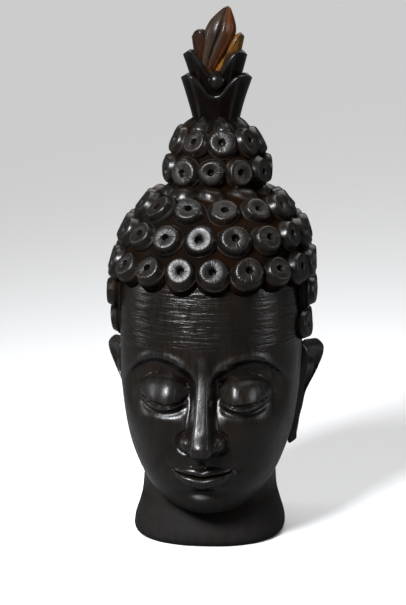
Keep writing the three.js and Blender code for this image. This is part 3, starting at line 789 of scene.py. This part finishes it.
def knife_marks():
    """Height of the knife's marks: level strokes where the first mask is 1, spokes round a curl's hole where
    the second is, rough gouges where the third is, upright strokes elsewhere, and fine pores over all."""
    group = bpy.data.node_groups.new("knife_marks", "ShaderNodeTree")
    for name, kind in (("Vector", "Vector"), ("Curl Place", "Vector"), ("Level Strokes", "Float"),
                       ("Spokes", "Float"), ("Gouges", "Float")):
        group.interface.new_socket(name, in_out="INPUT", socket_type=f"NodeSocket{kind}")
    group.interface.new_socket("Height", in_out="OUTPUT", socket_type="NodeSocketFloat")
    start, end = group.nodes.new("NodeGroupInput").outputs, group.nodes.new("NodeGroupOutput")
    vector = start["Vector"]
    across = stroked(group, vector, (42.0, 42.0, 400.0), turn=(0.0, math.radians(6), 0.0))
    upright = stroked(group, vector, (480.0, 480.0, 38.0))
    pores = stroked(group, vector, (1600.0, 1600.0, 130.0), detail=1.0)
    split = add(group, "ShaderNodeSeparateXYZ", {0: start["Curl Place"]}).outputs
    angle = maths(group, "ARCTAN2", split["Y"], split["X"])
    ring = add(group, "ShaderNodeCombineXYZ", {
        "X": maths(group, "SINE", angle), "Y": maths(group, "COSINE", angle),
        "Z": times(group, split["Z"], 40.0)})
    spokes = stroked(group, ring.outputs[0], (7.0, 7.0, 1.0), detail=2.0)
    strokes = mixed(group, start["Level Strokes"], times(group, upright, 0.35), times(group, across, 2.2))
    strokes = mixed(group, start["Spokes"], strokes, times(group, spokes, 0.9))
    gouges = stroked(group, vector, (170.0, 170.0, 170.0), detail=2.0)
    strokes = mixed(group, start["Gouges"], strokes, times(group, gouges, 4.0))
    group.links.new(plus(group, strokes, times(group, pores, 0.12)), end.inputs["Height"])
    return group


def hollows_and_edges():
    """Two masks from the shape: how deep a point lies in a hollow, by its depth near and wide and by its
    rise out of the scalp, broken up by noise, and how proud an edge it stands on."""
    group = bpy.data.node_groups.new("hollows_and_edges", "ShaderNodeTree")
    for name in ("Near Depth", "Wide Depth", "Rise", "Cloud", "Fine"):
        group.interface.new_socket(name, in_out="INPUT", socket_type="NodeSocketFloat")
    for name in ("Hollow", "Proud"):
        group.interface.new_socket(name, in_out="OUTPUT", socket_type="NodeSocketFloat")
    start, end = group.nodes.new("NodeGroupInput").outputs, group.nodes.new("NodeGroupOutput")
    near = mapped(group, start["Near Depth"], 0.3, 2.0, 0.0, 0.35)
    depth = plus(group, near, mapped(group, start["Wide Depth"], 0.4, 2.0, 0.0, 0.35))
    depth = plus(group, depth, mapped(group, start["Rise"], 0.5, 0.15))
    depth = times(group, depth, mapped(group, start["Cloud"], 0.35, 0.65, 0.55, 1.15))
    group.links.new(add(group, "ShaderNodeClamp", {"Value": depth}).outputs[0], end.inputs["Hollow"])
    worn = mapped(group, start["Fine"], 0.35, 0.6, 0.3, 1.0)
    # Proud sets a painted grey highlight, partly worn, on the proud edges.
    proud = times(group, mapped(group, start["Near Depth"], -0.15, -1.3), worn)
    group.links.new(proud, end.inputs["Proud"])
    return group


# Reflection of the wax, and its share left on the foot and on the finial; on the ground between the curls it
# is taken down to next to none, which paints shade into the gaps.
WAX_SHINE, PAINTED_GAP_SHADE_SHINE = 0.35, 0.02
FOOT_SHINE, FINIAL_SHINE = 0.45, 0.5
# Roughness added on the ground, the foot, the finial and the curls' faces.
GROUND_MATTE, FOOT_MATTE, FINIAL_MATTE, CURL_MATTE = 0.65, 0.45, -0.08, 0.05
MARK_DEPTH = 0.4  # of the knife's marks, in millimetres


def stained_wood(finish):
    """Near-black stain over brown wood: warm in the hollows and on the finial, with a painted grey highlight,
    partly worn, on the proud edges and a painted grey sheen, partly wax, on some curls' faces, under a satin
    coat of wax with the marks of the knife under it. Next to no reflection on the ground between the curls
    paints shade into the gaps."""
    material = bpy.data.materials.new("stained_wood")
    material.use_nodes = True
    tree = material.node_tree
    tree.nodes.clear()
    vector = add(tree, "ShaderNodeTexCoord").outputs["Object"]
    rise, finial = attribute(tree, "rise"), attribute(tree, "finial")
    place = add(tree, "ShaderNodeAttribute", attribute_name="curl_place").outputs["Vector"]
    split = add(tree, "ShaderNodeSeparateXYZ", {0: place}).outputs
    own = split["Z"]
    on_curl = mapped(tree, own, 0.0, 0.001)
    curl_face = times(tree, on_curl, mapped(tree, rise, 0.86, 0.95))
    cloud = stroked(tree, vector, (38.0, 38.0, 26.0), detail=4.0)
    fine = stroked(tree, vector, (300.0, 300.0, 60.0))
    masks = add(tree, "ShaderNodeGroup", {
        "Near Depth": attribute(tree, "near_depth"), "Wide Depth": attribute(tree, "wide_depth"),
        "Rise": rise, "Cloud": cloud, "Fine": fine}, node_tree=hollows_and_edges()).outputs

    # The stain, thin in places, with a painted grey sheen, partly wax, on some of the curls' faces and redder
    # on the finial.
    stain = blended(tree, mapped(tree, cloud, 0.35, 0.7), (*finish.stain, 1), (*finish.stain_light, 1))
    curl_sheen_and_wax = times(tree, curl_face, mapped(tree, own, 0.2, 1.0, 0.0, 0.1))
    stain = blended(tree, curl_sheen_and_wax, stain, (*finish.sheen_and_rubbing, 1))
    reddened = times(tree, finial, mapped(tree, cloud, 0.3, 0.6, 0.5, 1.0))
    stain = blended(tree, reddened, stain, (*finish.finial, 1))

    # The leaves' bare wood, from brown on the flame's left to amber on the leaf behind it.
    worn = blended(tree, mapped(tree, split["X"], 0.0, 0.5), (*finish.leaf, 1), (*finish.leaf_warm, 1))
    worn = blended(tree, mapped(tree, split["X"], 1.2, 2.0), worn, (*finish.amber, 1))
    on_leaf = times(tree, mapped(tree, split["Y"], 0.0, 1.0), mapped(tree, own, 0.001, 0.0))
    stain = blended(tree, times(tree, on_leaf, mapped(tree, fine, 0.25, 0.6, 0.3, 1.0)), stain, worn)

    # Brown wood in patches in the hollows, and a painted grey highlight, partly worn, on the proud edges
    # everywhere but on the curls.
    bare = blended(tree, mapped(tree, cloud, 0.42, 0.62), (*finish.stain, 1), (*finish.hollow, 1))
    stain = blended(tree, masks["Hollow"], stain, bare)
    sheen_and_rubbing = times(tree, masks["Proud"], mapped(tree, on_curl, 0.0, 1.0, 0.6, 0.0))
    colour = blended(tree, sheen_and_rubbing, stain, (*finish.sheen_and_rubbing, 1))

    foot = mapped(tree, add(tree, "ShaderNodeSeparateXYZ", {0: vector}).outputs["Z"], 0.05, 0.03)
    rough = mapped(tree, fine, 0.3, 0.7, finish.gloss - 0.06, finish.gloss + 0.08)
    rough = plus(tree, rough, mapped(tree, rise, 0.4, 0.1, 0.0, GROUND_MATTE))
    for share, matte in ((foot, FOOT_MATTE), (finial, FINIAL_MATTE), (curl_face, CURL_MATTE)):
        rough = plus(tree, rough, times(tree, share, matte))
    # Next to no reflection where the rise is low: painted shade on the ground between the curls.
    shine = mapped(tree, rise, 0.1, 0.4, PAINTED_GAP_SHADE_SHINE, WAX_SHINE)
    for share, left in ((foot, FOOT_SHINE), (finial, FINIAL_SHINE)):
        shine = times(tree, shine, mapped(tree, share, 0.0, 1.0, 1.0, left))

    marks = add(tree, "ShaderNodeGroup", {
        "Vector": vector, "Curl Place": place, "Level Strokes": attribute(tree, "forehead"),
        "Spokes": curl_face, "Gouges": mapped(tree, rise, 0.3, 0.1)}, node_tree=knife_marks())
    relief = add(tree, "ShaderNodeBump", {
        "Strength": 1.0, "Distance": MARK_DEPTH * MM, "Height": marks.outputs["Height"]})
    shader = add(tree, "ShaderNodeBsdfPrincipled", {
        "Base Color": colour, "Roughness": rough, "Normal": relief.outputs[0], "Specular IOR Level": shine})
    add(tree, "ShaderNodeOutputMaterial", {"Surface": shader.outputs[0]})
    return material


# ---------------------------------------------------------------- settings a user would change
class CarvingSizes(bpy.types.PropertyGroup):
    """Sizes of the hair and of the carver's unevenness."""

    curl_pitch: FloatProperty(
        name="Curl spacing", description="Distance from curl to curl along a row",
        default=CURL_PITCH * MM, min=0.018, max=0.04, unit="LENGTH")
    curl_radius: FloatProperty(
        name="Curl radius", description="Radius of a curl on the skull",
        default=CURL_RADIUS * MM, min=0.007, max=0.012, unit="LENGTH")
    curl_height: FloatProperty(
        name="Curl height", description="How far a curl stands out of the scalp",
        default=CURL_HEIGHT * MM, min=0.003, max=0.009, unit="LENGTH")
    seed: IntProperty(name="Seed", description="Draw of the curls' small differences", default=7, min=0)


class WoodFinish(bpy.types.PropertyGroup):
    """Colours and gloss of the stained wood."""

    stain: FloatVectorProperty(
        name="Stain", description="Colour of the stained wood", subtype="COLOR", size=3,
        default=(0.0036, 0.0027, 0.0019), min=0, max=1)
    stain_light: FloatVectorProperty(
        name="Thin stain", description="Colour where the stain is thin", subtype="COLOR", size=3,
        default=(0.0075, 0.0048, 0.0029), min=0, max=1)
    hollow: FloatVectorProperty(
        name="Hollows", description="Wood that shows between and under the curls", subtype="COLOR", size=3,
        default=(0.008, 0.0032, 0.0011), min=0, max=1)
    finial: FloatVectorProperty(
        name="Finial", description="Redder stain of the finial", subtype="COLOR", size=3,
        default=(0.0016, 0.0006, 0.0004), min=0, max=1)
    leaf: FloatVectorProperty(
        name="Flame", description="Worn brown of the flame's left side", subtype="COLOR", size=3,
        default=(0.034, 0.022, 0.0145), min=0, max=1)
    leaf_warm: FloatVectorProperty(
        name="Flame, right", description="Orange brown of the flame's right side", subtype="COLOR", size=3,
        default=(0.1, 0.03, 0.009), min=0, max=1)
    amber: FloatVectorProperty(
        name="Amber", description="Bare wood of the leaf behind the flame", subtype="COLOR", size=3,
        default=(0.2, 0.083, 0.01), min=0, max=1)
    # Painted grey highlight on the proud edges and painted grey sheen on some curls' faces, partly worn wax.
    sheen_and_rubbing: FloatVectorProperty(
        name="Rubbed edges", description="Greyer wax on edges that hands reach", subtype="COLOR", size=3,
        default=(0.015, 0.014, 0.0135), min=0, max=1)
    gloss: FloatProperty(
        name="Roughness", description="Roughness of the wax", subtype="FACTOR",
        default=0.29, min=0.1, max=0.9)


class StageLook(bpy.types.PropertyGroup):
    """Floor and light."""

    floor: FloatVectorProperty(
        name="Floor", description="Colour of the floor", subtype="COLOR", size=3,
        default=(0.96, 0.96, 0.96), min=0, max=1)
    glow: FloatProperty(
        name="Glow", description="Share of the floor's paleness that lights and shows in the wood",
        default=0.18, min=0.0, max=1.0, subtype="FACTOR")
    light: FloatProperty(
        name="Light", description="Strength of the soft light", subtype="FACTOR",
        default=1.0, min=0.0, max=5.0)


# ---------------------------------------------------------------- operators
class CARVING_OT_head(bpy.types.Operator):
    """Carve the head, its hair and its finial out of one block"""

    bl_idname = "carving.head"
    bl_label = "Carve the Head"

    def execute(self, context):
        head_piece = carve("buddha_head_in_wood", context.scene.carving_sizes)
        head_piece.data.materials.append(stained_wood(context.scene.wood_finish))
        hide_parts(BLOCK)
        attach(head_piece, "root")
        return {"FINISHED"}


# Camera: distance from the neck's axis, height, angle round from the front, how far it looks down, turn of
# its aim off the axis, and lens in millimetres for a 24 mm high film.
CAMERA_DISTANCE, CAMERA_HEIGHT = 1.5, 0.4586
CAMERA_ROUND, CAMERA_DOWN, CAMERA_TURN = math.radians(5.0), math.radians(10.68), math.radians(0.286)
CAMERA_LENS, FILM_HEIGHT = 79.4, 24.0

# A broad ceiling light from behind the carving, as even as a white sky: direction, breadth and strength.
CEILING_FROM, CEILING_BREADTH, CEILING_STRENGTH = (0.1, 0.5, 1.0), math.radians(60), 2.0
# Softboxes: place, width, height and power in watts. The main one hangs over the camera's left shoulder.
SOFTBOXES = [
    ((-0.5, -1.05, 1.05), 0.42, 0.42, 5.5),
    ((1.2, -0.3, 0.5), 0.3, 0.6, 0.4),
    ((-1.2, 0.0, 0.5), 0.3, 0.6, 0.4),
]
SOFTBOX_COLOUR, SOFTBOX_SPREAD = (0.94, 0.96, 1.0), math.radians(60)
LIT_POINT = (0.0, 0.0, 0.2)  # all softboxes point here
FLOOR_WIDTH, FLOOR_ROUGHNESS = 40, 0.9
# The sky's strength as the wood reflects it, and as it shows behind the floor.
SKY_LIGHT, SKY_SEEN = 0.07, 0.62


def hang(lamp, place, backwards):
    """A lamp at a place, shining away from a direction."""
    fitting = bpy.data.objects.new(lamp.name, lamp)
    fitting.location = place
    fitting.rotation_euler = backwards.to_track_quat("Z", "Y").to_euler()
    bpy.context.scene.collection.objects.link(fitting)


class CARVING_OT_stage(bpy.types.Operator):
    """Lay the floor, hang the lights and place the camera"""

    bl_idname = "carving.stage"
    bl_label = "Set the Stage"

    def execute(self, context):
        scene, look = context.scene, context.scene.stage_look
        bpy.ops.mesh.primitive_plane_add(size=FLOOR_WIDTH)
        floor = context.object
        floor.name = "floor"
        paint = bpy.data.materials.new("floor_paint")
        paint.use_nodes = True
        shader = paint.node_tree.nodes["Principled BSDF"]
        shader.inputs["Roughness"].default_value = FLOOR_ROUGHNESS
        seen = add(paint.node_tree, "ShaderNodeLightPath").outputs["Is Camera Ray"]
        in_the_wood = tuple(look.glow * c for c in look.floor)
        pale = blended(paint.node_tree, seen, (*in_the_wood, 1), (*look.floor, 1))
        paint.node_tree.links.new(pale, shader.inputs["Base Color"])
        floor.data.materials.append(paint)
        world = bpy.data.worlds.new("studio")
        world.use_nodes = True
        sky = world.node_tree.nodes["Background"]
        sky.inputs["Color"].default_value = (1, 1, 1, 1)
        seen = add(world.node_tree, "ShaderNodeLightPath").outputs["Is Camera Ray"]
        strength = mapped(world.node_tree, seen, 0.0, 1.0, SKY_LIGHT * look.light, SKY_SEEN)
        world.node_tree.links.new(strength, sky.inputs["Strength"])
        scene.world = world
        ceiling = bpy.data.lights.new("ceiling", "SUN")
        ceiling.energy, ceiling.angle = CEILING_STRENGTH * look.light, CEILING_BREADTH
        hang(ceiling, (0, 0, 0), Vector(CEILING_FROM))
        for number, (place, width, height, power) in enumerate(SOFTBOXES):
            lamp = bpy.data.lights.new(f"softbox_{number}", "AREA")
            lamp.shape, lamp.size, lamp.size_y = "RECTANGLE", width, height
            lamp.energy, lamp.spread, lamp.color = power * look.light, SOFTBOX_SPREAD, SOFTBOX_COLOUR
            hang(lamp, place, Vector(place) - Vector(LIT_POINT))
        lens = bpy.data.cameras.new("camera")
        lens.sensor_fit, lens.sensor_height, lens.lens = "VERTICAL", FILM_HEIGHT, CAMERA_LENS
        camera = bpy.data.objects.new("camera", lens)
        camera.location = (
            HEAD_X * MM + CAMERA_DISTANCE * math.sin(CAMERA_ROUND),
            -CAMERA_DISTANCE * math.cos(CAMERA_ROUND),
            CAMERA_HEIGHT,
        )
        camera.rotation_euler = (math.pi / 2 - CAMERA_DOWN, 0, CAMERA_ROUND + CAMERA_TURN)
        scene.collection.objects.link(camera)
        scene.camera = camera
        scene.view_settings.view_transform = "Standard"
        return {"FINISHED"}


class CARVING_PT_panel(bpy.types.Panel):
    """The sidebar's page of sizes, colours and steps"""

    bl_label = "Carved Buddha Head"
    bl_idname = "CARVING_PT_panel"
    bl_space_type = "VIEW_3D"
    bl_region_type = "UI"
    bl_category = "Carving"

    def draw(self, context):
        for settings, operator in (
            (context.scene.carving_sizes, CARVING_OT_head),
            (context.scene.wood_finish, None),
            (context.scene.stage_look, CARVING_OT_stage),
        ):
            for name in settings.__annotations__:
                self.layout.prop(settings, name)
            if operator:
                self.layout.operator(operator.bl_idname)


CLASSES = (CarvingSizes, WoodFinish, StageLook, CARVING_OT_head, CARVING_OT_stage, CARVING_PT_panel)


def register():
    """Registers the classes and hangs their settings on the scene."""
    for cls in CLASSES:
        bpy.utils.register_class(cls)
    bpy.types.Scene.carving_sizes = PointerProperty(type=CarvingSizes)
    bpy.types.Scene.wood_finish = PointerProperty(type=WoodFinish)
    bpy.types.Scene.stage_look = PointerProperty(type=StageLook)


def unregister():
    """Takes the settings and the classes away again."""
    del bpy.types.Scene.stage_look
    del bpy.types.Scene.wood_finish
    del bpy.types.Scene.carving_sizes
    for cls in reversed(CLASSES):
        bpy.utils.unregister_class(cls)


def main():
    """Registers the add-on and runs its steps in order."""
    register()
    bpy.ops.carving.head()
    bpy.ops.carving.stage()


if __name__ == "__main__":
    main()
